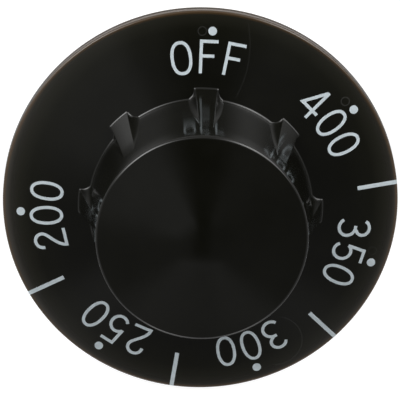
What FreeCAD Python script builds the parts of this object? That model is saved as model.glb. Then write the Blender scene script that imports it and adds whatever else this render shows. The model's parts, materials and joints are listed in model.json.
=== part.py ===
import FreeCAD, Part
import math
import os

from FreeCAD import Vector

# Oven control knob: a black moulded dial knob that pushes onto a quarter-inch D shaft.
# The origin is the centre of the back, +Z runs out of the panel, +Y points at the OFF mark.
# Lengths are millimetres, slopes and drafts are degrees.

# Skirt
skirt_diameter = 57.15
rim_height = 2.0
rim_round = 0.3
rim_land = 1.8
skirt_slope = 9.4
skirt_wall = 1.9

# Grip and face
grip_base_diameter = 32.3
grip_draft = 4.5
grip_height = 19.3
grip_wall = 2.0
grip_foot_ease = 0.2
face_slope = 8.0
face_tip_radius = 4.0
face_edge_round = 0.4
face_wall = 2.2
core_ease = 0.8

# Finger ribs
rib_count = 8
rib_reach = 1.7
rib_foot_width = 3.4
rib_head_width = 2.5
rib_head_gap = 6.2
rib_root_round = 1.8
rib_root_bite = 0.06
rib_head_bite = 0.06

# Hub and webs
hub_diameter = 12.0
hub_recess = 1.0
web_count = 4
web_thickness = 1.6
web_recess = 5.0

# Shaft socket
shaft_diameter = 6.35
shaft_flat_depth = 0.79
shaft_clearance = 0.05
socket_depth = 13.0
socket_lead = 0.4

# Shaft spring
spring_thickness = 0.4
spring_width = 2.8
spring_bend = 0.3
spring_press = 0.3
spring_travel = 0.7
spring_leg = 1.6
spring_length = 9.0
spring_bow_round = 1.2
spring_lip_margin = 0.8
spring_clearance = 0.1

skirt_radius = skirt_diameter / 2
grip_radius = grip_base_diameter / 2
hub_radius = hub_diameter / 2
skirt_rise = math.tan(math.radians(skirt_slope))
face_rise = math.tan(math.radians(face_slope))
grip_lean = math.tan(math.radians(grip_draft))
skirt_drop = skirt_wall / math.cos(math.radians(skirt_slope))
face_drop = face_wall / math.cos(math.radians(face_slope))
vertical = Vector(0, 0, 1)


def skirt_height(radius):
    return rim_height + (skirt_radius - radius) * skirt_rise


grip_foot = skirt_height(grip_radius)


def grip_radius_at(height):
    return grip_radius - (height - grip_foot) * grip_lean


face_radius = grip_radius_at(grip_height)


def face_height(radius):
    return grip_height + (face_radius - radius) * face_rise


# The round tip of the face is a sphere that the cone leaves at the tip radius.
tip_sphere = face_tip_radius / math.sin(math.radians(face_slope))
tip_top = face_height(face_tip_radius) + tip_sphere * (1 - math.cos(math.radians(face_slope)))
tip_middle_angle = math.radians(face_slope / 2)
tip_middle_radius = tip_sphere * math.sin(tip_middle_angle)
tip_middle_height = tip_top - tip_sphere * (1 - math.cos(tip_middle_angle))


def spun(edges):
    return Part.Face(Part.Wire(edges)).revolve(Vector(0, 0, 0), vertical, 360)


def rounded_path(corners, rounds):
    # Straight runs through the corners, each inner corner eased by a tangent arc of its own radius.
    edges = []
    start = corners[0]
    for before, corner, after, radius in zip(corners, corners[1:], corners[2:], rounds):
        back = (before - corner).normalize()
        ahead = (after - corner).normalize()
        half_turn = (math.pi - back.getAngle(ahead)) / 2
        reach = radius * math.tan(half_turn)
        arc_start = corner + back * reach
        arc_end = corner + ahead * reach
        edges.append(Part.makeLine(start, arc_start))
        if radius > 0:
            inward = (back + ahead).normalize()
            arc_middle = corner + inward * (radius / math.cos(half_turn) - radius)
            edges.append(Part.Arc(arc_start, arc_middle, arc_end).toShape())
        start = arc_end
    edges.append(Part.makeLine(start, corners[-1]))
    return edges


# Outside of the moulding: skirt, grip and face, as one turned form
def outer_form():
    corners = [
        Vector(0, 0, 0),
        Vector(skirt_radius, 0, 0),
        Vector(skirt_radius, 0, rim_height),
        Vector(grip_radius + grip_foot_ease, 0, skirt_height(grip_radius + grip_foot_ease)),
        Vector(grip_radius_at(grip_foot + grip_foot_ease), 0, grip_foot + grip_foot_ease),
        Vector(face_radius, 0, grip_height),
        Vector(face_tip_radius, 0, face_height(face_tip_radius)),
    ]
    side = rounded_path(corners, [0, rim_round, 0, 0, face_edge_round])
    tip_start = corners[-1]
    tip_middle = Vector(tip_middle_radius, 0, tip_middle_height)
    tip_end = Vector(0, 0, tip_top)
    tip = Part.Arc(tip_start, tip_middle, tip_end).toShape()
    return spun(side + [tip, Part.makeLine(tip_end, corners[0])])


# One level of a finger rib: a crest, and two hollow flanks that run out on the wall
def rib_section(height, wall_radius, crest_radius, width):
    toe_radius = wall_radius - rib_root_bite
    seat_radius = toe_radius - grip_wall / 2
    root_radius = toe_radius + rib_root_round
    corner_angle = math.asin(width / 2 / crest_radius)
    # Each flank follows, in two flats, a round that touches the wall and ends at the crest's corner.
    reach = root_radius**2 + crest_radius**2 - rib_root_round**2
    toe_angle = corner_angle + math.acos(reach / (2 * root_radius * crest_radius))

    def spot(radius, angle):
        return Vector(radius * math.sin(angle), radius * math.cos(angle), height)

    def flank(side):
        corner = spot(crest_radius, side * corner_angle)
        toe = spot(toe_radius, side * toe_angle)
        root = spot(root_radius, side * toe_angle)
        middle = root + (corner + toe - root * 2).normalize() * rib_root_round
        seat = spot(seat_radius, side * toe_angle)
        return Part.makePolygon([corner, middle, toe, seat]).Edges

    crest = Part.Arc(
        spot(crest_radius, -corner_angle), spot(crest_radius, 0), spot(crest_radius, corner_angle)
    ).toShape()
    seat = Part.makeLine(spot(seat_radius, toe_angle), spot(seat_radius, -toe_angle))
    return Part.Wire(Part.sortEdges([crest] + flank(1) + flank(-1) + [seat])[0])


# Ribs sink into the drafted wall towards the face and fade out below it.
def finger_ribs():
    foot_crest = grip_radius + rib_reach
    foot = skirt_height(foot_crest) - skirt_wall / 2
    head = grip_height - rib_head_gap
    head_crest = grip_radius_at(head) - rib_head_bite
    sections = [
        rib_section(foot, grip_radius_at(foot), foot_crest, rib_foot_width),
        rib_section(head, head_crest - rib_head_bite, head_crest, rib_head_width),
    ]
    rib = Part.makeLoft(sections, True, True)
    return [
        rib.rotated(Vector(0, 0, 0), vertical, 360 * number / rib_count) for number in range(rib_count)
    ]


# Inside of the moulding: everything the core of the mould fills, before hub and webs are left out
def core_form():
    land_radius = skirt_radius - rim_land
    inner_foot = grip_radius - grip_wall
    inner_face = face_radius - grip_wall
    eased_face = inner_face - core_ease
    corners = [
        Vector(0, 0, 0),
        Vector(land_radius, 0, 0),
        Vector(land_radius, 0, skirt_height(land_radius) - skirt_drop),
        Vector(inner_foot, 0, skirt_height(inner_foot) - skirt_drop),
        Vector(inner_face, 0, face_height(inner_face) - face_drop - core_ease),
        Vector(eased_face, 0, face_height(eased_face) - face_drop),
        Vector(0, 0, tip_top - face_drop),
        Vector(0, 0, 0),
    ]
    return spun(Part.makePolygon(corners).Edges)


def hub_and_webs():
    hub = Part.makeCylinder(hub_radius, tip_top - hub_recess, Vector(0, 0, hub_recess))
    web = Part.makeBox(
        grip_radius, web_thickness, tip_top - web_recess, Vector(0, -web_thickness / 2, web_recess)
    )
    # Webs stand midway between the axes, clear of the spring.
    first = 180 / web_count
    webs = [
        web.rotated(Vector(0, 0, 0), vertical, first + 360 * number / web_count)
        for number in range(web_count)
    ]
    return hub.fuse(webs)


socket_radius = shaft_diameter / 2 + shaft_clearance
socket_flat = socket_radius - shaft_flat_depth
slot_back = socket_flat + spring_travel + spring_thickness
lip_groove = spring_thickness + spring_clearance
lip_end = hub_radius - spring_lip_margin
slot_width = spring_width + 2 * spring_clearance


def socket_outline(grow, height):
    radius = socket_radius + grow
    flat = socket_flat + grow
    half = math.sqrt(radius**2 - flat**2)
    bow = Part.Arc(
        Vector(-half, flat, height), Vector(0, -radius, height), Vector(half, flat, height)
    ).toShape()
    flat_edge = Part.makeLine(Vector(half, flat, height), Vector(-half, flat, height))
    return Part.Wire([bow, flat_edge])


# D-shaped socket with a lead-in, the slot behind its flat and the groove for the spring's lip
def socket_cut():
    bore = Part.Face(socket_outline(0, hub_recess)).extrude(Vector(0, 0, socket_depth))
    lead = Part.makeLoft(
        [socket_outline(socket_lead, hub_recess), socket_outline(0, hub_recess + socket_lead)], True, True
    )
    slot = Part.makeBox(
        slot_width, slot_back, spring_length + spring_clearance, Vector(-slot_width / 2, 0, hub_recess)
    )
    groove = Part.makeBox(
        slot_width, lip_end + spring_clearance, lip_groove, Vector(-slot_width / 2, 0, hub_recess)
    )
    ease = spring_bend + spring_clearance
    corner = Part.makePolygon(
        [
            Vector(-slot_width / 2, slot_back, hub_recess + lip_groove),
            Vector(-slot_width / 2, slot_back + ease, hub_recess + lip_groove),
            Vector(-slot_width / 2, slot_back, hub_recess + lip_groove + ease),
            Vector(-slot_width / 2, slot_back, hub_recess + lip_groove),
        ]
    )
    eased = Part.Face(corner).extrude(Vector(slot_width, 0, 0))
    return bore.fuse([lead, slot, groove, eased])


def knob_body():
    form = outer_form().fuse(finger_ribs())
    core = core_form().cut(hub_and_webs())
    return form.cut(core.fuse(socket_cut())).removeSplitter()


# Folded leaf: a lip under the hub, a leg on the slot's back, and a bow that presses on the shaft's flat
def shaft_spring():
    half = spring_thickness / 2
    leg = slot_back - half
    lip = hub_recess + lip_groove - half
    crest = socket_flat - spring_press + half
    leg_top = hub_recess + lip_groove + spring_leg
    head = hub_recess + spring_length
    middle = (leg_top + head) / 2
    corners = [
        Vector(0, lip_end, lip),
        Vector(0, leg, lip),
        Vector(0, leg, leg_top),
        Vector(0, crest, middle),
        Vector(0, leg - spring_clearance, head),
    ]
    rounds = [spring_bend + half, spring_bow_round, spring_bow_round]
    path = Part.Wire(rounded_path(corners, rounds))
    strip = Part.makePolygon(
        [
            Vector(-spring_width / 2, lip_end, lip - half),
            Vector(spring_width / 2, lip_end, lip - half),
            Vector(spring_width / 2, lip_end, lip + half),
            Vector(-spring_width / 2, lip_end, lip + half),
            Vector(-spring_width / 2, lip_end, lip - half),
        ]
    )
    return path.makePipeShell([strip], True, False)


os.makedirs("parts", exist_ok=True)
for name, shape in (("knob_body", knob_body()), ("shaft_spring", shaft_spring())):
    print(name, "valid", shape.isValid(), "solids", len(shape.Solids), "volume", round(shape.Volume, 1))
    shape.exportStep("parts/" + name + ".step")
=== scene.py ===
import json
import math

import bpy
from mathutils import Matrix, Vector

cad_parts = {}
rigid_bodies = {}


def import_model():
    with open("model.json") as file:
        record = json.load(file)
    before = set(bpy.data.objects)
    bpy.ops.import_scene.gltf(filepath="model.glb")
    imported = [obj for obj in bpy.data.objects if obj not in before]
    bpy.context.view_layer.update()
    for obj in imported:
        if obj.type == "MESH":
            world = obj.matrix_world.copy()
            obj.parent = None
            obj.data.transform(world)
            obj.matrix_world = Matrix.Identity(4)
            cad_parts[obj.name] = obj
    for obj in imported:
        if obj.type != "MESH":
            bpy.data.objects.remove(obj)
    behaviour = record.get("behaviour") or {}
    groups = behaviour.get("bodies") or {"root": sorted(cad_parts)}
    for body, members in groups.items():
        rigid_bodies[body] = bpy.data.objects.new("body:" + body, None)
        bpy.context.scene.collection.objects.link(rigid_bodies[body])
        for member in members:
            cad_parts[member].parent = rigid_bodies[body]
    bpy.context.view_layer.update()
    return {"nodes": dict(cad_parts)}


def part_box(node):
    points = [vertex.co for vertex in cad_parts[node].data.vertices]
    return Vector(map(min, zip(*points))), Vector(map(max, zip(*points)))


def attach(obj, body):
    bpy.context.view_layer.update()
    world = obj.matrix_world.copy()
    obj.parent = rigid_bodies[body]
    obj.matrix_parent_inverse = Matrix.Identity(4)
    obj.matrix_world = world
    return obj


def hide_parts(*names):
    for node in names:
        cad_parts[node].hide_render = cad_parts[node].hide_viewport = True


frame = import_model()
print("frame loaded:", ", ".join(sorted(frame["nodes"])))

mm = 0.001  # shapes are drawn in millimetres and shrunk to metres when they are done
weld = 0.001  # points closer than this are merged
upright = Vector((0, 0, 1))

knob = {
    "radius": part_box("knob_body")[1].y / mm,  # rim of the skirt
    "rimHeight": 2.0,
    "rimRound": 0.3,
    "rimLand": 1.8,
    "skirtSlope": 9.4,  # degrees
    "skirtWall": 1.9,
    "gripRadius": 15.95,  # at the foot
    "gripDraft": 2.95,  # degrees
    "footFlare": (0.045, 2.6),  # how far out and how high the wall flares to the skirt
    "crown": (0.17, 3.0),  # how far in and how deep it leans to the face
    "gripHeight": 19.3,
    "gripWall": 2.0,
    "footRound": 0.4,
    "faceSlope": 7.94,  # degrees
    "tipRadius": 4.0,
    "edgeRound": 0.48,
    "faceWall": 2.2,
    "coreEase": 0.8,
    "ribMargin": 1.0,  # keeps the ribs' seams off the outer skirt
    "turns": 288,  # steps round the axis
    "arcSteps": 10,
    "wallStops": 18,
    "sharpest": 10,  # degrees at an edge that still shades smooth
}


def rise(angle):
    return math.tan(math.radians(angle))


def skirtHeight(radius):
    return knob["rimHeight"] + (knob["radius"] - radius) * rise(knob["skirtSlope"])


gripFoot = skirtHeight(knob["gripRadius"])


def wallRadius(height):
    radius = knob["gripRadius"] - (height - gripFoot) * rise(knob["gripDraft"])
    out, reach = knob["footFlare"]
    radius += out * max(0, 1 - (height - gripFoot) / reach) ** 2
    lean, depth = knob["crown"]
    return radius - lean * max(0, 1 - (knob["gripHeight"] - height) / depth) ** 2


faceRadius = wallRadius(knob["gripHeight"])


def faceHeight(radius):
    return knob["gripHeight"] + (faceRadius - radius) * rise(knob["faceSlope"])


# Drawing helpers

def firstPoint(name, point):
    bpy.ops.object.select_all(action="DESELECT")
    bpy.ops.mesh.primitive_plane_add(size=1)
    piece = bpy.context.object
    piece.name = piece.data.name = name
    bpy.ops.object.mode_set(mode="EDIT")
    bpy.ops.mesh.select_all(action="SELECT")
    bpy.ops.mesh.merge(type="CENTER")
    bpy.ops.transform.translate(value=point)
    return piece


def drawLine(name, points):  # a chain of edges, left in edit mode with its last point selected
    piece = firstPoint(name, points[0])
    for here, there in zip(points, points[1:]):
        bpy.ops.mesh.extrude_vertices_move(TRANSFORM_OT_translate={"value": there - here})
    return piece


def roundedLine(corners, rounds, steps):  # eases the inner corners with arcs
    line = [corners[0]]
    for before, corner, after, radius in zip(corners, corners[1:], corners[2:], rounds):
        if not radius:
            line.append(corner)
            continue
        back = (before - corner).normalized()
        ahead = (after - corner).normalized()
        halfTurn = (math.pi - back.angle(ahead)) / 2
        centre = corner + (back + ahead).normalized() * radius / math.cos(halfTurn)
        start = corner + back * radius * math.tan(halfTurn) - centre
        end = corner + ahead * radius * math.tan(halfTurn) - centre
        turn = math.copysign(2 * halfTurn, start.cross(end))
        for step in range(steps + 1):
            line.append(centre + Matrix.Rotation(turn * step / steps, 2) @ start)
    line.append(corners[-1])
    return line


def turnedForm(name, line, turns):
    piece = drawLine(name, [Vector((point.x, 0, point.y)) for point in line])
    bpy.ops.mesh.select_all(action="SELECT")
    bpy.ops.mesh.spin(steps=turns, angle=2 * math.pi, center=(0, 0, 0), axis=upright)
    return closeForm(piece)


def closeForm(piece):  # merges seams and turns the faces outwards
    bpy.ops.mesh.select_all(action="SELECT")
    bpy.ops.mesh.remove_doubles(threshold=weld)
    bpy.ops.mesh.normals_make_consistent(inside=False)
    bpy.ops.object.mode_set(mode="OBJECT")
    return piece


def pushUp(outline, name, height):  # a closed flat outline, pushed up to a block
    piece = drawLine(name, outline)
    bpy.ops.mesh.select_all(action="SELECT")
    bpy.ops.mesh.edge_face_add()
    bpy.ops.mesh.extrude_region_move(TRANSFORM_OT_translate={"value": height})
    return closeForm(piece)


def joinPieces(pieces):
    bpy.ops.object.select_all(action="DESELECT")
    for piece in pieces:
        piece.select_set(True)
    bpy.context.view_layer.objects.active = pieces[0]
    bpy.ops.object.join()
    return pieces[0]


def copyTurned(piece, angle):
    twin = piece.copy()
    twin.data = piece.data.copy()
    twin.data.transform(Matrix.Rotation(angle, 4, "Z"))
    bpy.context.scene.collection.objects.link(twin)
    return twin


def combine(piece, other, operation):
    change = piece.modifiers.new(operation, "BOOLEAN")
    change.operation = operation
    change.solver = "EXACT"
    change.object = other
    bpy.context.view_layer.objects.active = piece
    bpy.ops.object.modifier_apply(modifier=change.name)
    bpy.data.objects.remove(other)


# Knob body: the turned shell first

def shellLine():
    land = knob["radius"] - knob["rimLand"]
    skirtDrop = knob["skirtWall"] / math.cos(math.radians(knob["skirtSlope"]))
    faceDrop = knob["faceWall"] / math.cos(math.radians(knob["faceSlope"]))
    innerFoot = knob["gripRadius"] - knob["gripWall"]
    innerFace = faceRadius - knob["gripWall"]
    tipBall = knob["tipRadius"] / math.sin(math.radians(knob["faceSlope"]))
    tipTop = faceHeight(knob["tipRadius"]) + tipBall * (1 - math.cos(math.radians(knob["faceSlope"])))
    ease = knob["coreEase"]
    ribRing = knob["gripRadius"] + finger["reach"] + knob["ribMargin"]
    inside = [
        (0, tipTop - faceDrop),
        (innerFace - ease, faceHeight(innerFace - ease) - faceDrop),
        (innerFace, faceHeight(innerFace) - faceDrop - ease),
        (innerFoot, skirtHeight(innerFoot) - skirtDrop),
        (land, skirtHeight(land) - skirtDrop),
        (land, 0),
        (knob["radius"], 0),
    ]
    wall = []
    for stop in range(1, knob["wallStops"]):
        height = gripFoot + (knob["gripHeight"] - gripFoot) * stop / knob["wallStops"]
        wall.append((wallRadius(height), height))
    outside = [
        (knob["radius"], knob["rimHeight"]),
        (ribRing, skirtHeight(ribRing)),
        (wallRadius(gripFoot), gripFoot),
        *wall,
        (faceRadius, knob["gripHeight"]),
        (knob["tipRadius"], faceHeight(knob["tipRadius"])),
    ]
    rounds = [0] * (len(inside) - 1) + [knob["rimRound"], 0, knob["footRound"]]
    rounds += [0] * len(wall) + [knob["edgeRound"]]
    corners = [Vector(corner) for corner in inside + outside]
    line = roundedLine(corners, rounds, knob["arcSteps"])
    for step in reversed(range(knob["arcSteps"])):
        angle = math.radians(knob["faceSlope"]) * step / knob["arcSteps"]
        line.append(Vector((tipBall * math.sin(angle), tipTop - tipBall * (1 - math.cos(angle)))))
    return line


# Finger ribs: drawn once, sinking into the wall towards the face

finger = {
    "count": 8,
    "reach": 1.8,  # beyond the wall, at the foot
    "footWidth": 3.4,
    "headWidth": 2.2,
    "headGap": 6.2,  # from the edge of the face down to where crest and wall would meet
    "blend": 0.25,  # how softly the crest runs into the wall
    "fadeGap": 3.0,  # from the edge of the face down to the last of the rib
    "headSink": 0.06,  # how far the last of the crest lies under the wall
    "rootRound": 1.6,  # of the hollow flanks
    "rootBite": 0.05,  # how far a flank runs on below the wall
    "crestRound": 0.1,
    "crestSteps": 4,
    "cornerSteps": 8,
    "rootSteps": 12,
    "footRound": 0.25,
    "footSteps": 10,
    "footSink": 0.012,  # the foot's round dips just below the skirt
    "settling": 3,  # rounds in which the foot settles on the sloping skirt
    "buried": 1.0,  # how far the rib runs into the wall
    "levels": 18,
}
ribHead = knob["gripHeight"] - finger["fadeGap"]


def around(radius, angle):  # a point by its turn from the middle of the rib
    return Vector((radius * math.sin(angle), radius * math.cos(angle)))


def ribSide(wall, crest, width):  # right half of a level, from the middle of the crest to the wall
    hollow = finger["rootRound"]
    root = wall - finger["rootBite"] + hollow
    cornerTurn = math.asin(width / 2 / crest)
    toeTurn = cornerTurn + math.acos((root**2 + crest**2 - hollow**2) / (2 * root * crest))
    centre = around(root, toeTurn)
    corner = around(crest, cornerTurn)
    spread = (corner - centre).angle(around(-1, toeTurn))

    def onFlank(share):  # the hollow flank, from the crest's corner to the wall
        return centre + Matrix.Rotation(-spread * (1 - share), 2) @ around(-hollow, toeTurn)

    soft = finger["crestRound"]
    softShare = soft / hollow / spread
    crestEnd = cornerTurn - soft / crest
    steps = finger["crestSteps"]
    side = [around(crest, crestEnd * step / steps) for step in range(steps)]
    steps = finger["cornerSteps"]
    for step in range(steps + 1):
        share = step / steps
        here = around(crest, crestEnd).lerp(corner, share)
        side.append(here.lerp(corner.lerp(onFlank(softShare), share), share))
    steps = finger["rootSteps"]
    side += [onFlank(softShare + (1 - softShare) * step / steps) for step in range(1, steps + 1)]
    return side


def ribLevel(height):
    footCrest = knob["gripRadius"] + finger["reach"]
    foot = skirtHeight(footCrest) - knob["skirtWall"] / 2
    meet = knob["gripHeight"] - finger["headGap"]
    share = (height - foot) / (meet - foot)
    wall = wallRadius(height)
    proud = footCrest + (wallRadius(meet) - footCrest) * share - wall
    crest = wall + (proud + math.hypot(proud, finger["blend"])) / 2
    crest -= finger["headSink"] * max(0, (height - meet) / (ribHead - meet)) ** 2
    width = finger["footWidth"] + (finger["headWidth"] - finger["footWidth"]) * share
    side = ribSide(min(wall, crest - finger["rootBite"]), crest, width)
    return side + [side[-1].normalized() * (wall - finger["buried"] - knob["footRound"])]


def ribLoop(height, flare):  # closed loop of points, pushed out by the flare
    side = ribLevel(height)
    left = [Vector((-point.x, point.y)) for point in reversed(side[1:])]
    loop = left + side
    pushed = []
    for before, point, after in zip(loop[-1:] + loop[:-1], loop, loop[1:] + loop[:1]):
        along = (after - point).normalized() + (point - before).normalized()
        pushed.append(point + Vector((-along.y, along.x)).normalized() * flare)
    return pushed


def ribLoops():
    loops = []
    flare = finger["footRound"]
    count = len(ribLoop(gripFoot, 0))
    for step in range(-1, finger["footSteps"] + 1):
        angle = math.pi / 2 * max(step, 0) / finger["footSteps"]
        lift = flare * (1 - math.cos(angle)) - finger["footSink"]
        if step < 0:  # the first loop lies inside the skirt
            lift -= flare
        loop = []
        for number in range(count):
            height = gripFoot
            for again in range(finger["settling"]):
                spot = ribLoop(height, flare * (1 - math.sin(angle)))[number]
                height = skirtHeight(spot.length) + lift
            loop.append(Vector((spot.x, spot.y, height)))
        loops.append(loop)
    start = gripFoot + flare
    for step in range(1, finger["levels"] + 1):
        height = start + (ribHead - start) * step / finger["levels"]
        loops.append([Vector((spot.x, spot.y, height)) for spot in ribLoop(height, 0)])
    return loops


def fingerRibs():
    loops = ribLoops()
    flat = [Vector((spot.x, spot.y, 0)) for spot in loops[0]]
    rib = drawLine("rib", flat)
    bpy.ops.mesh.select_all(action="SELECT")
    bpy.ops.mesh.edge_face_add()
    for loop in loops[1:]:
        bpy.ops.mesh.extrude_region_move(TRANSFORM_OT_translate={"value": upright})
    bpy.ops.object.mode_set(mode="OBJECT")
    for vertex in rib.data.vertices:  # each level takes its own outline
        loop = loops[round(vertex.co.z)]
        nearest = min(range(len(flat)), key=lambda i: (flat[i].xy - vertex.co.xy).length)
        vertex.co = loop[nearest]
    bpy.ops.object.mode_set(mode="EDIT")
    closeForm(rib)
    ribs = [copyTurned(rib, 2 * math.pi * number / finger["count"]) for number in range(1, finger["count"])]
    return joinPieces([rib] + ribs)


# Hub, webs and shaft socket, inside the shell

socket = {
    "hubRadius": 6.0,
    "hubRecess": 1.0,
    "hubTop": 19.5,  # ends inside the face
    "webThickness": 1.6,
    "webRecess": 5.0,
    "webTop": 18.9,  # ends inside the face
    "webStart": 4.5,
    "webEnd": 14.2,  # ends inside the wall
    "webCount": 4,
    "radius": 3.225,
    "flat": 2.435,
    "depth": 13.0,
    "lead": 0.4,
    "slotWidth": 3.0,
    "slotBack": 3.535,
    "slotTop": 10.1,
    "groove": 0.5,
    "grooveEnd": 5.3,
    "ease": 0.4,
    "turns": 96,  # steps round the axis
}


def hubForm():
    line = [(0, socket["hubRecess"]), (socket["hubRadius"], socket["hubRecess"])]
    line += [(socket["hubRadius"], socket["hubTop"]), (0, socket["hubTop"])]
    return turnedForm("hub", [Vector(point) for point in line], socket["turns"])


def webForms():
    half = socket["webThickness"] / 2
    outline = [
        Vector((socket["webStart"], -half, socket["webRecess"])),
        Vector((socket["webEnd"], -half, socket["webRecess"])),
        Vector((socket["webEnd"], half, socket["webRecess"])),
        Vector((socket["webStart"], half, socket["webRecess"])),
    ]
    web = pushUp(outline, "web", upright * (socket["webTop"] - socket["webRecess"]))
    step = 2 * math.pi / socket["webCount"]
    web.data.transform(Matrix.Rotation(step / 2, 4, "Z"))
    return joinPieces([web] + [copyTurned(web, step * number) for number in range(1, socket["webCount"])])


def socketCut():
    bottom = socket["hubRecess"] - socket["lead"]  # starts clear of the hub
    spread = [2 * socket["lead"], 0, 0]
    heights = [bottom, socket["hubRecess"] + socket["lead"], socket["hubRecess"] + socket["depth"]]
    line = [Vector((0, bottom))]
    line += [Vector((socket["radius"] + grow, height)) for grow, height in zip(spread, heights)]
    line.append(Vector((0, heights[-1])))
    bore = turnedForm("socketCut", line, socket["turns"])
    bpy.ops.object.mode_set(mode="EDIT")
    bpy.ops.mesh.select_all(action="SELECT")
    bpy.ops.mesh.bisect(
        plane_co=(0, socket["flat"], 0), plane_no=(0, 1, 0), use_fill=True, clear_outer=True
    )
    return closeForm(bore)


def springSlotCut():
    half = socket["slotWidth"] / 2
    bottom = socket["hubRecess"] - socket["lead"]
    shelf = socket["hubRecess"] + socket["groove"]
    outline = [
        (0, bottom),
        (socket["grooveEnd"], bottom),
        (socket["grooveEnd"], shelf),
        (socket["slotBack"] + socket["ease"], shelf),
        (socket["slotBack"], shelf + socket["ease"]),
        (socket["slotBack"], socket["slotTop"]),
        (0, socket["slotTop"]),
    ]
    across = Vector((2 * half, 0, 0))
    return pushUp([Vector((-half, y, z)) for y, z in outline], "springSlotCut", across)


def finishForm(piece, sharpest):  # clean mesh in metres, smooth up to the sharpest angle
    bpy.ops.object.select_all(action="DESELECT")
    piece.select_set(True)
    bpy.context.view_layer.objects.active = piece
    bpy.ops.object.mode_set(mode="EDIT")
    bpy.ops.mesh.select_all(action="SELECT")
    bpy.ops.mesh.remove_doubles(threshold=2 * weld)
    bpy.ops.mesh.dissolve_degenerate(threshold=weld)
    bpy.ops.object.mode_set(mode="OBJECT")
    piece.data.transform(Matrix.Scale(mm, 4))
    bpy.ops.object.shade_smooth_by_angle(angle=math.radians(sharpest))
    even = piece.modifiers.new("evenShade", "WEIGHTED_NORMAL")  # large faces stay flat beside small ones
    even.weight = 100
    even.keep_sharp = True
    bpy.ops.object.modifier_apply(modifier=even.name)
    return piece


hub = hubForm()
combine(hub, webForms(), "UNION")
combine(hub, socketCut(), "DIFFERENCE")
combine(hub, springSlotCut(), "DIFFERENCE")
knobBody = turnedForm("knobBody", shellLine(), knob["turns"])
combine(knobBody, fingerRibs(), "UNION")
combine(knobBody, hub, "UNION")
finishForm(knobBody, knob["sharpest"])
print("knob body:", len(knobBody.data.polygons), "faces")


# Dial print: single-weight strokes laid flat, then dropped on the sloping skirt

dial = {
    "stroke": 0.455,
    "tickWidth": 0.6,
    "tickStart": 22.67,
    "tickSteps": 4,
    "bendSteps": 5,
    "bendTurn": 70,  # degrees that a tick runs on over the rounded rim
    "dotRadius": 0.62,
    "dotSteps": 32,
    "dotCircle": 26.14,
    "textCircle": 22.45,
    "letterStep": 9.45,  # degrees between letters
    "textTurn": 1.0,  # degrees from a dot to its middle letter
    "markStep": 52.89,  # degrees from dot to dot
    "firstMark": 89.3,  # degrees, a little off the rib
    "tickTurn": -0.43,
    "shift": Vector((0.18, -0.39)),  # print sits a little off the axis
    "marks": [  # each with the degrees its dot and its letters stray clockwise
        ("OFF", 0.0, -0.1),
        ("400", 0.38, 0.55),
        ("350", 0.42, -0.1),
        ("300", -0.15, 0.1),
        ("250", 0.0, -0.25),
        ("200", 0.38, -0.15),
    ],
    "ink": 0.025,  # how far the print stands proud
    "bedded": 0.1,  # how far it runs into the skirt
    "sharpest": 32,  # degrees
}


def arc(middle, radii, start, end, steps=14):
    turns = [math.radians(start + (end - start) * step / steps) for step in range(steps + 1)]
    return [Vector((middle[0] + radii[0] * math.cos(a), middle[1] + radii[1] * math.sin(a))) for a in turns]


def oval(middle, halfWidth, halfHeight, square, steps=44):  # squarer than an ellipse as the power grows
    loop = []
    for step in range(steps):
        angle = 2 * math.pi * step / steps
        across, along = math.cos(angle), math.sin(angle)
        x = math.copysign(abs(across) ** (2 / square), across) * halfWidth
        y = math.copysign(abs(along) ** (2 / square), along) * halfHeight
        loop.append(Vector((middle + x, y)))
    return loop + loop[:1]


def sweepCurve(a, b, c, d, steps=10):
    curve = []
    for step in range(1, steps + 1):
        t = step / steps
        s = 1 - t
        weights = (s**3, 3 * s * s * t, 3 * s * t * t, t**3)
        curve.append(sum((w * Vector(p) for w, p in zip(weights, (a, b, c, d))), Vector((0, 0))))
    return curve


def straight(*points):
    return [Vector(point) for point in points]


# strokes of each letter about its own middle, x along the print and y outwards
letters = {
    "O": [oval(-0.13, 1.31, 2.2, 2.35)],
    "0": [oval(0.05, 1.19, 2.21, 2.2)],
    "F": [
        straight((1.41, 2.2), (-1.03, 2.2), (-1.03, -2.35)),
        straight((-1.03, 0.13), (0.89, 0.13)),
    ],
    "4": [
        straight((0.46, 2.45), (0.46, -2.43)),
        straight((0.34, 2.3), (-1.51, -1.02), (1.42, -1.02)),
    ],
    "3": [
        arc((-0.12, 1.13), (1.1, 0.98), 162, -62) + straight((0.18, 0.07), (-0.38, 0.07)),
        straight((0.08, 0.07)) + arc((-0.07, -1.13), (1.26, 1.2), 78, -148),
    ],
    "5": [
        straight((1.24, 2.14), (-0.7, 2.14), (-0.93, -0.37)),
        arc((0.06, -0.985), (1.2, 1.28), 146, -147),
    ],
    "2": [
        straight((-1.03, 0.97))
        + arc((0.03, 1.15), (1.06, 1.01), 180, -33)
        + sweepCurve((0.92, 0.6), (0.45, -0.15), (-1.06, -1.0), (-1.06, -2.24))
        + straight((1.44, -2.24)),
    ],
}


def onDial(point, radius, angle):  # from a letter's own place to its place on the dial
    turn = math.radians(angle)
    outward = Vector((math.cos(turn), math.sin(turn)))
    along = Vector((math.sin(turn), -math.cos(turn)))
    return dial["shift"] + along * point.x + outward * (radius + point.y)


def inkStroke(points, width):  # a standing ribbon, given the width of the stroke
    ribbon = drawLine("stroke", [Vector((point.x, point.y, 0)) for point in points])
    bpy.ops.mesh.select_all(action="SELECT")
    bpy.ops.mesh.remove_doubles(threshold=weld)
    bpy.ops.mesh.extrude_edges_move(TRANSFORM_OT_translate={"value": upright})
    bpy.ops.object.mode_set(mode="OBJECT")
    thick = ribbon.modifiers.new("width", "SOLIDIFY")
    thick.thickness = width
    thick.offset = 0
    thick.use_even_offset = True
    bpy.ops.object.modifier_apply(modifier=thick.name)
    bpy.ops.object.mode_set(mode="EDIT")
    return closeForm(ribbon)


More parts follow.
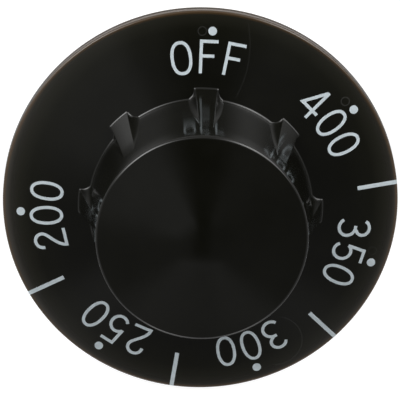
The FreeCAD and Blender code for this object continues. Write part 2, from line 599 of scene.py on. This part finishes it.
def inkLetter(letter, angle):
    strokes = []
    for points in letters[letter]:
        placed = [onDial(point, dial["textCircle"], angle) for point in points]
        strokes.append(inkStroke(placed, dial["stroke"]))
    for other in strokes[1:]:
        combine(strokes[0], other, "UNION")
    return strokes[0]


def inkDot(angle):
    middle = onDial(Vector((0, 0)), dial["dotCircle"], angle)
    radii = (dial["dotRadius"], dial["dotRadius"])
    loop = arc(middle, radii, 0, 360, dial["dotSteps"])
    return pushUp([point.to_3d() for point in loop[:-1]], "dot", upright)


def rimHeightAt(radius):  # follows the skirt and then the rounded rim
    ball = knob["rimRound"]
    middle = knob["radius"] - ball
    lean = math.radians(knob["skirtSlope"])
    if radius < middle + ball * math.sin(lean):
        return skirtHeight(radius)
    top = knob["rimHeight"] - ball * math.tan(math.pi / 4 - lean / 2)
    return top + math.sqrt(max(ball**2 - (radius - middle) ** 2, 0))


def inkTick(angle):  # runs out over the rounded rim
    turn = math.radians(angle)
    offAxis = dial["shift"].dot(Vector((math.cos(turn), math.sin(turn))))
    bend = knob["radius"] - knob["rimRound"] * math.cos(math.radians(knob["skirtSlope"]))
    start, steps = dial["tickStart"], dial["tickSteps"]
    stops = [start + (bend - offAxis - start) * step / steps for step in range(steps + 1)]
    for step in range(1, dial["bendSteps"] + 1):
        lean = math.radians(dial["bendTurn"]) * step / dial["bendSteps"]
        stops.append(knob["radius"] - knob["rimRound"] * (1 - math.sin(lean)) - offAxis)
    points = [onDial(Vector((0, 0)), stop, angle) for stop in stops]
    return inkStroke(points, dial["tickWidth"])


def dialPrint():
    pieces = []
    for number, (mark, dotStray, textStray) in enumerate(dial["marks"]):
        angle = dial["firstMark"] - dial["markStep"] * number
        pieces.append(inkDot(angle - dotStray))
        for place, letter in enumerate(mark):
            turn = dial["textTurn"] - textStray + dial["letterStep"] * (1 - place)
            pieces.append(inkLetter(letter, angle + turn))
        if 0 < number < len(dial["marks"]) - 1:
            pieces.append(inkTick(angle - dial["markStep"] / 2 + dial["tickTurn"]))
    layer = joinPieces(pieces)
    for vertex in layer.data.vertices:
        lift = dial["ink"] if vertex.co.z > upright.z / 2 else -dial["bedded"]
        vertex.co.z = rimHeightAt(min(vertex.co.xy.length, knob["radius"])) + lift
    layer.name = layer.data.name = "dialPrint"
    return finishForm(layer, dial["sharpest"])


inkLayer = dialPrint()
print("dial print:", len(inkLayer.data.polygons), "faces")


# Materials

def newMaterial(name):
    material = bpy.data.materials.new(name)
    material.use_nodes = True
    tree = material.node_tree
    return material, tree, tree.nodes["Principled BSDF"]


def addNode(tree, kind, values=None, **settings):
    node = tree.nodes.new(kind)
    for key, value in settings.items():
        setattr(node, key, value)
    for key, value in (values or {}).items():
        node.inputs[key].default_value = value
    return node


def ramp(tree, source, stops):
    node = addNode(tree, "ShaderNodeValToRGB")
    for number, (place, shade) in enumerate(stops):
        if number > 1:
            node.color_ramp.elements.new(place)
        node.color_ramp.elements[number].position = place
        node.color_ramp.elements[number].color = (*shade, 1)
    tree.links.new(source, node.inputs["Fac"])
    return node.outputs["Color"]


def mapped(tree, source, values, **settings):
    node = addNode(tree, "ShaderNodeMapRange", values, **settings)
    tree.links.new(source, node.inputs["Value"])
    return node.outputs["Result"]


def smoothStep(tree, source, start, end):
    return mapped(tree, source, {"From Min": start, "From Max": end}, interpolation_type="SMOOTHSTEP")


def noise(tree, place, values):
    node = addNode(tree, "ShaderNodeTexNoise", values)
    tree.links.new(place, node.inputs["Vector"])
    return node.outputs["Fac"]


def bumpy(tree, shader, source, strength, depth):
    bump = addNode(tree, "ShaderNodeBump", {"Strength": strength, "Distance": depth * mm})
    tree.links.new(source, bump.inputs["Height"])
    tree.links.new(bump.outputs["Normal"], shader.inputs["Normal"])


def arithmetic(tree, operation, *sources):
    node = addNode(tree, "ShaderNodeMath", operation=operation)
    for slot, source in zip(node.inputs, sources):
        if isinstance(source, (int, float)):
            slot.default_value = source
        else:
            tree.links.new(source, slot)
    return node.outputs[0]


def vectors(tree, operation, *sources):
    node = addNode(tree, "ShaderNodeVectorMath", operation=operation)
    for slot, source in zip(node.inputs, sources):
        if isinstance(source, tuple):
            slot.default_value = source
        else:
            tree.links.new(source, slot)
    return node.outputs[0]


def measure(tree, operation, place, other):  # a number from two vectors
    node = addNode(tree, "ShaderNodeVectorMath", {1: other}, operation=operation)
    tree.links.new(place, node.inputs[0])
    return node.outputs["Value"]


def alongAxis(tree, place, axis):
    return measure(tree, "DOT_PRODUCT", place, axis)


def distance(tree, place, middle=(0, 0, 0)):
    return measure(tree, "DISTANCE", place, middle)


def band(tree, source, stops):  # rises between the first two stops and falls between the last two
    up = smoothStep(tree, source, stops[0], stops[1])
    down = smoothStep(tree, source, stops[3], stops[2])
    return arithmetic(tree, "MULTIPLY", up, down)


black = {
    "tone": [(0.35, (0.0030, 0.0030, 0.0017)), (0.7, (0.0040, 0.0040, 0.0026))],
    "cloud": {"Scale": 220, "Detail": 4, "Roughness": 0.6},
    "glareMiddle": (-0.14, -0.6, 0),  # painted glare: the colour grows paler towards the rim, more so at the sides
    "glareShape": (1, 0.97, 0),
    "glareStart": 21.0,
    "paintedGlare": [  # painted glare, from where it starts to the rim
        (0.0, (0.0, 0.0, 0.0)),
        (0.5, (0.0016, 0.0016, 0.0007)),
        (0.72, (0.0075, 0.0072, 0.0050)),
        (0.86, (0.0145, 0.0135, 0.0115)),
        (0.95, (0.040, 0.037, 0.033)),
    ],
    "rim": (28.0, 28.38),
    "rimBrown": (0.034, 0.0145, 0.002),
    "rimFootShade": (1.05, 0.65),  # heights between which the painted glare fades out downwards, leaving painted shade low on the rim's side
    "paintedRimHighlight": (0.7, 1.0, 1.5, 1.8),  # heights between which a painted highlight lightens the side of the rim
    "rimHighlightStrength": 0.13,
    "marks": [  # faint rings and flow lines: middle, radius, where it is seen and how far, shade
        ((-0.98, 25.7), 0.6, (-0.98, 25.7), 2.0, 0.016),
        ((20.03, 16.17), 0.6, (20.03, 16.17), 2.0, 0.02),
        ((25.27, -6.18), 0.6, (25.27, -6.18), 2.0, 0.006),
        ((11.96, -20.48), 3.9, (15.88, -20.77), 5.9, 0.012),
        ((-9.28, 23.42), 15.22, (5.67, 21.73), 6.0, 0.006),
    ],
    "markWidth": 0.15,
    "markFade": 0.8,  # share of its reach at which a mark starts to fade
    "smear": {"Scale": 90, "Detail": 5, "Roughness": 0.65},
    "gloss": {"To Min": 0.07, "To Max": 0.13},
    "turned": 0.95,  # the mould's turning marks draw the gloss out along the axis
    "turnedAcross": 0.25,  # of a full turn
    "peelSize": 1.1,
    "peelDepth": 0.0012,
    "refraction": 1.5,
}


def faintMark(tree, plan, middle, radius, seen, reach, shade):  # a ring, or the part of it near one spot
    away = arithmetic(tree, "SUBTRACT", distance(tree, plan, (*middle, 0)), radius)
    line = smoothStep(tree, arithmetic(tree, "ABSOLUTE", away), black["markWidth"], 0)
    part = smoothStep(tree, distance(tree, plan, (*seen, 0)), reach, black["markFade"] * reach)
    return arithmetic(tree, "MULTIPLY", arithmetic(tree, "MULTIPLY", line, part), shade)


def blackTone(tree, place):
    tone = ramp(tree, noise(tree, place, black["cloud"]), black["tone"])
    height = alongAxis(tree, place, (0, 0, 1 / mm))
    plan = vectors(tree, "MULTIPLY", place, (1 / mm, 1 / mm, 0))
    # painted glare: the base colour grows paler towards the rim
    glareReach = vectors(tree, "ADD", plan, black["glareMiddle"])
    glareReach = distance(tree, vectors(tree, "MULTIPLY", glareReach, black["glareShape"]))
    glareReach = mapped(tree, glareReach, {"From Min": black["glareStart"], "From Max": knob["radius"]})
    paintedGlare = ramp(tree, glareReach, black["paintedGlare"])
    rim = smoothStep(tree, distance(tree, plan), *black["rim"])
    # painted shade: the low side of the rim loses the painted glare and is darker towards the floor
    foot = arithmetic(tree, "MULTIPLY", rim, smoothStep(tree, height, *black["rimFootShade"]))
    # painted highlight: a pale band along the side of the rim, standing in for a reflection
    paintedRimHighlight = arithmetic(tree, "MULTIPLY", rim, band(tree, height, black["paintedRimHighlight"]))
    extra = arithmetic(tree, "MULTIPLY", paintedRimHighlight, black["rimHighlightStrength"])
    for mark in black["marks"]:
        extra = arithmetic(tree, "ADD", extra, faintMark(tree, plan, *mark))
    above = arithmetic(tree, "SUBTRACT", 1, foot)
    tone = vectors(tree, "ADD", tone, vectors(tree, "MULTIPLY", paintedGlare, above))
    tone = vectors(tree, "ADD", tone, extra)
    return vectors(tree, "ADD", tone, vectors(tree, "MULTIPLY", rim, black["rimBrown"]))


def blackMoulding():
    material, tree, shader = newMaterial("blackMoulding")
    place = addNode(tree, "ShaderNodeTexCoord").outputs["Object"]
    tree.links.new(blackTone(tree, place), shader.inputs["Base Color"])
    gloss = mapped(tree, noise(tree, place, black["smear"]), black["gloss"])
    tree.links.new(gloss, shader.inputs["Roughness"])
    marks = addNode(tree, "ShaderNodeTangent", direction_type="RADIAL", axis="Z")
    tree.links.new(marks.outputs["Tangent"], shader.inputs["Tangent"])
    shader.inputs["Anisotropic"].default_value = black["turned"]
    shader.inputs["Anisotropic Rotation"].default_value = black["turnedAcross"]
    peel = noise(tree, place, {"Scale": 1 / (black["peelSize"] * mm), "Detail": 1.0})
    bumpy(tree, shader, peel, 1.0, black["peelDepth"])
    shader.inputs["IOR"].default_value = black["refraction"]
    return material


ink = {
    "mottle": {"Scale": 1500, "Detail": 4, "Roughness": 0.6},
    "tone": [(0.3, (0.475, 0.534, 0.563)), (0.62, (0.544, 0.610, 0.642))],
    "grit": 0.4,  # strength of its bump
    "gritDepth": 0.01,
    "dullness": 0.42,
}


def dialInk():
    material, tree, shader = newMaterial("dialInk")
    place = addNode(tree, "ShaderNodeTexCoord").outputs["Object"]
    mottle = noise(tree, place, ink["mottle"])
    tree.links.new(ramp(tree, mottle, ink["tone"]), shader.inputs["Base Color"])
    bumpy(tree, shader, mottle, ink["grit"], ink["gritDepth"])
    shader.inputs["Roughness"].default_value = ink["dullness"]
    return material


steel = {
    "stretch": (9000, 400, 400),  # fine grain along the strip
    "grain": {"Scale": 1, "Detail": 3},
    "tone": [(0.3, (0.36, 0.35, 0.33)), (0.7, (0.52, 0.51, 0.49))],
    "gloss": {"To Min": 0.25, "To Max": 0.42},
}


def springSteel():
    material, tree, shader = newMaterial("springSteel")
    place = addNode(tree, "ShaderNodeTexCoord").outputs["Object"]
    stretch = addNode(tree, "ShaderNodeMapping", {"Scale": steel["stretch"]})
    tree.links.new(place, stretch.inputs["Vector"])
    grain = noise(tree, stretch.outputs["Vector"], steel["grain"])
    tree.links.new(ramp(tree, grain, steel["tone"]), shader.inputs["Base Color"])
    tree.links.new(mapped(tree, grain, steel["gloss"]), shader.inputs["Roughness"])
    shader.inputs["Metallic"].default_value = 1.0
    return material


spring = frame["nodes"]["shaft_spring"]
for piece, material in ((knobBody, blackMoulding()), (inkLayer, dialInk()), (spring, springSteel())):
    piece.data.materials.clear()
    piece.data.materials.append(material)
print("materials on")

for piece, finish in ((knobBody, "black_moulding"), (inkLayer, "dial_ink")):
    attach(piece, "root")
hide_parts("knob_body")


# Floor, lamps and camera

studio = {
    "floorSize": 3.0,
    "floorDrop": 0.00005,  # clear of the knob's back
    "floorGlow": 0.9,
    "floorMirrored": 0.2,  # how bright the floor is in the knob's gloss
    "floorClear": (0.0288, 0.0295),  # where that glow comes out of the rim's shade
    "floorShade": 0.3,
}


def whiteFloor():
    bpy.ops.object.select_all(action="DESELECT")
    bpy.ops.mesh.primitive_plane_add(size=studio["floorSize"], location=-upright * studio["floorDrop"])
    floor = bpy.context.object
    floor.name = "floor"
    material, tree, shader = newMaterial("whiteFloor")
    tree.nodes.remove(shader)
    paper = addNode(tree, "ShaderNodeBsdfDiffuse", {"Color": (studio["floorShade"],) * 3 + (1,)})
    path = addNode(tree, "ShaderNodeLightPath").outputs
    seen = arithmetic(tree, "MAXIMUM", path["Is Camera Ray"], path["Is Transmission Ray"])
    place = addNode(tree, "ShaderNodeTexCoord").outputs["Object"]
    clear = smoothStep(tree, distance(tree, place), *studio["floorClear"])
    mirrored = arithmetic(tree, "MULTIPLY", path["Is Glossy Ray"], studio["floorMirrored"])
    mirrored = arithmetic(tree, "MULTIPLY", mirrored, clear)
    glow = addNode(tree, "ShaderNodeEmission")
    bright = arithmetic(tree, "MULTIPLY_ADD", seen, studio["floorGlow"], mirrored)
    tree.links.new(bright, glow.inputs["Strength"])
    both = addNode(tree, "ShaderNodeAddShader")
    tree.links.new(paper.outputs[0], both.inputs[0])
    tree.links.new(glow.outputs[0], both.inputs[1])
    tree.links.new(both.outputs[0], tree.nodes["Material Output"].inputs["Surface"])
    floor.data.materials.append(material)


room = {
    "left": 0.128,
    "right": 0.085,
    "sides": (-0.38, 0.2),  # where left turns into right
    "dark": 0.025,  # straight overhead
    "darkAcross": (-0.09, -0.01, 0.07, 0.15),
    "darkAlong": (-0.50, -0.42, 0.05, 0.17),
    "windowAxis": (0.78, 0.62, 0.0),
    "windowSide": (-0.62, 0.78, 0.0),
    "windowAcross": (-0.42, -0.31, -0.13, -0.06),
    "windowAlong": (-0.16, -0.03, 0.20, 0.32),
    "window": 0.13,
    "front": (-0.595, -0.565, -0.53, -0.46),
    "frontLight": 0.15,
    "low": (0.72, 0.55),  # how high the light round the walls reaches
    "lowLight": 0.28,
    "lampSpread": 7.5,  # degrees from a lamp's middle to where it has faded
    "lamps": [  # degrees round from +X, degrees up, strength
        (32, 30, 3.6),  # tall light on the right
        (46, 42, 2.4),
        (60, 42, 1.1),
        (46, 6, 4.8),
        (60, 6, 6.3),
        (58, 33, 6.5),
        (144, 30, 6.3),  # tall light on the left
        (126, 33, 5.0),
        (138, 22, 3.0),
        (130, 42, 1.2),
        (150, 42, 1.3),
        (130, 6, 4.4),
        (151, 6, 3.2),
        (258, 15, 4.0),  # low lights in front
        (290, 15, 3.0),
        (76, 44, 0.3),  # faint fill
        (101, 44, 0.7),
        (45, 66, 0.25),
        (190, 45, 0.2),
        (318, 45, 0.18),
    ],
}


def lampGlow(tree, place, turn, lift, strength):
    turn, lift = math.radians(turn), math.radians(lift)
    toward = (math.cos(turn) * math.cos(lift), math.sin(turn) * math.cos(lift), math.sin(lift))
    away = arithmetic(tree, "SUBTRACT", alongAxis(tree, place, toward), 1)
    spread = math.radians(room["lampSpread"]) ** 2
    fade = arithmetic(tree, "EXPONENT", arithmetic(tree, "DIVIDE", away, spread))
    return arithmetic(tree, "MULTIPLY", fade, strength)


def studioWorld():
    world = bpy.data.worlds.new("studio")
    bpy.context.scene.world = world
    world.use_nodes = True
    tree = world.node_tree
    place = addNode(tree, "ShaderNodeTexCoord").outputs["Generated"]
    x, y, z = (alongAxis(tree, place, axis) for axis in ((1, 0, 0), (0, 1, 0), (0, 0, 1)))
    side = smoothStep(tree, x, *room["sides"])
    level = arithmetic(tree, "MULTIPLY_ADD", side, room["right"] - room["left"], room["left"])
    dark = arithmetic(tree, "MULTIPLY", band(tree, x, room["darkAcross"]), band(tree, y, room["darkAlong"]))
    darker = arithmetic(tree, "SUBTRACT", room["dark"], level)
    level = arithmetic(tree, "MULTIPLY_ADD", dark, darker, level)
    across = band(tree, alongAxis(tree, place, room["windowAxis"]), room["windowAcross"])
    along = band(tree, alongAxis(tree, place, room["windowSide"]), room["windowAlong"])
    window = arithmetic(tree, "MULTIPLY", across, along)
    level = arithmetic(tree, "MULTIPLY_ADD", window, room["window"], level)
    level = arithmetic(tree, "MULTIPLY_ADD", band(tree, y, room["front"]), room["frontLight"], level)
    level = arithmetic(tree, "MULTIPLY_ADD", smoothStep(tree, z, *room["low"]), room["lowLight"], level)
    for lamp in room["lamps"]:
        level = arithmetic(tree, "ADD", level, lampGlow(tree, place, *lamp))
    tree.links.new(level, tree.nodes["Background"].inputs["Color"])


camera = {
    "distance": 617.0,
    "tilt": 17.44,  # degrees off the knob's axis
    "turn": 5.14,
    "roll": -2.48,
    "scale": 6.915,  # pixels to the millimetre at the skirt
    "centre": (200.41, 201.88),  # where the axis meets the skirt's plane in the picture
    "picture": 400,
    "sensor": 36,
}


def placeCamera():
    tilt, turn, roll = (math.radians(camera[key]) for key in ("tilt", "turn", "roll"))
    back = Vector((-math.sin(tilt) * math.sin(turn), math.sin(tilt) * math.cos(turn), math.cos(tilt)))
    level = Vector((math.cos(turn), math.sin(turn), 0))
    plumb = back.cross(level)
    right = level * math.cos(roll) + plumb * math.sin(roll)
    up = plumb * math.cos(roll) - level * math.sin(roll)
    middle = camera["picture"] / 2
    aim = upright * knob["rimHeight"]
    aim -= right * (camera["centre"][0] - middle) / camera["scale"]
    aim += up * (camera["centre"][1] - middle) / camera["scale"]
    bpy.ops.object.camera_add()
    eye = bpy.context.object
    spot = (aim + back * camera["distance"]) * mm
    eye.matrix_world = Matrix.Translation(spot) @ Matrix((right, up, back)).transposed().to_4x4()
    eye.data.sensor_width = camera["sensor"]
    eye.data.lens = camera["sensor"] * camera["scale"] * camera["distance"] / camera["picture"]
    bpy.context.scene.camera = eye


whiteFloor()
studioWorld()
placeCamera()
bpy.context.scene.view_settings.view_transform = "Standard"
print("studio set")
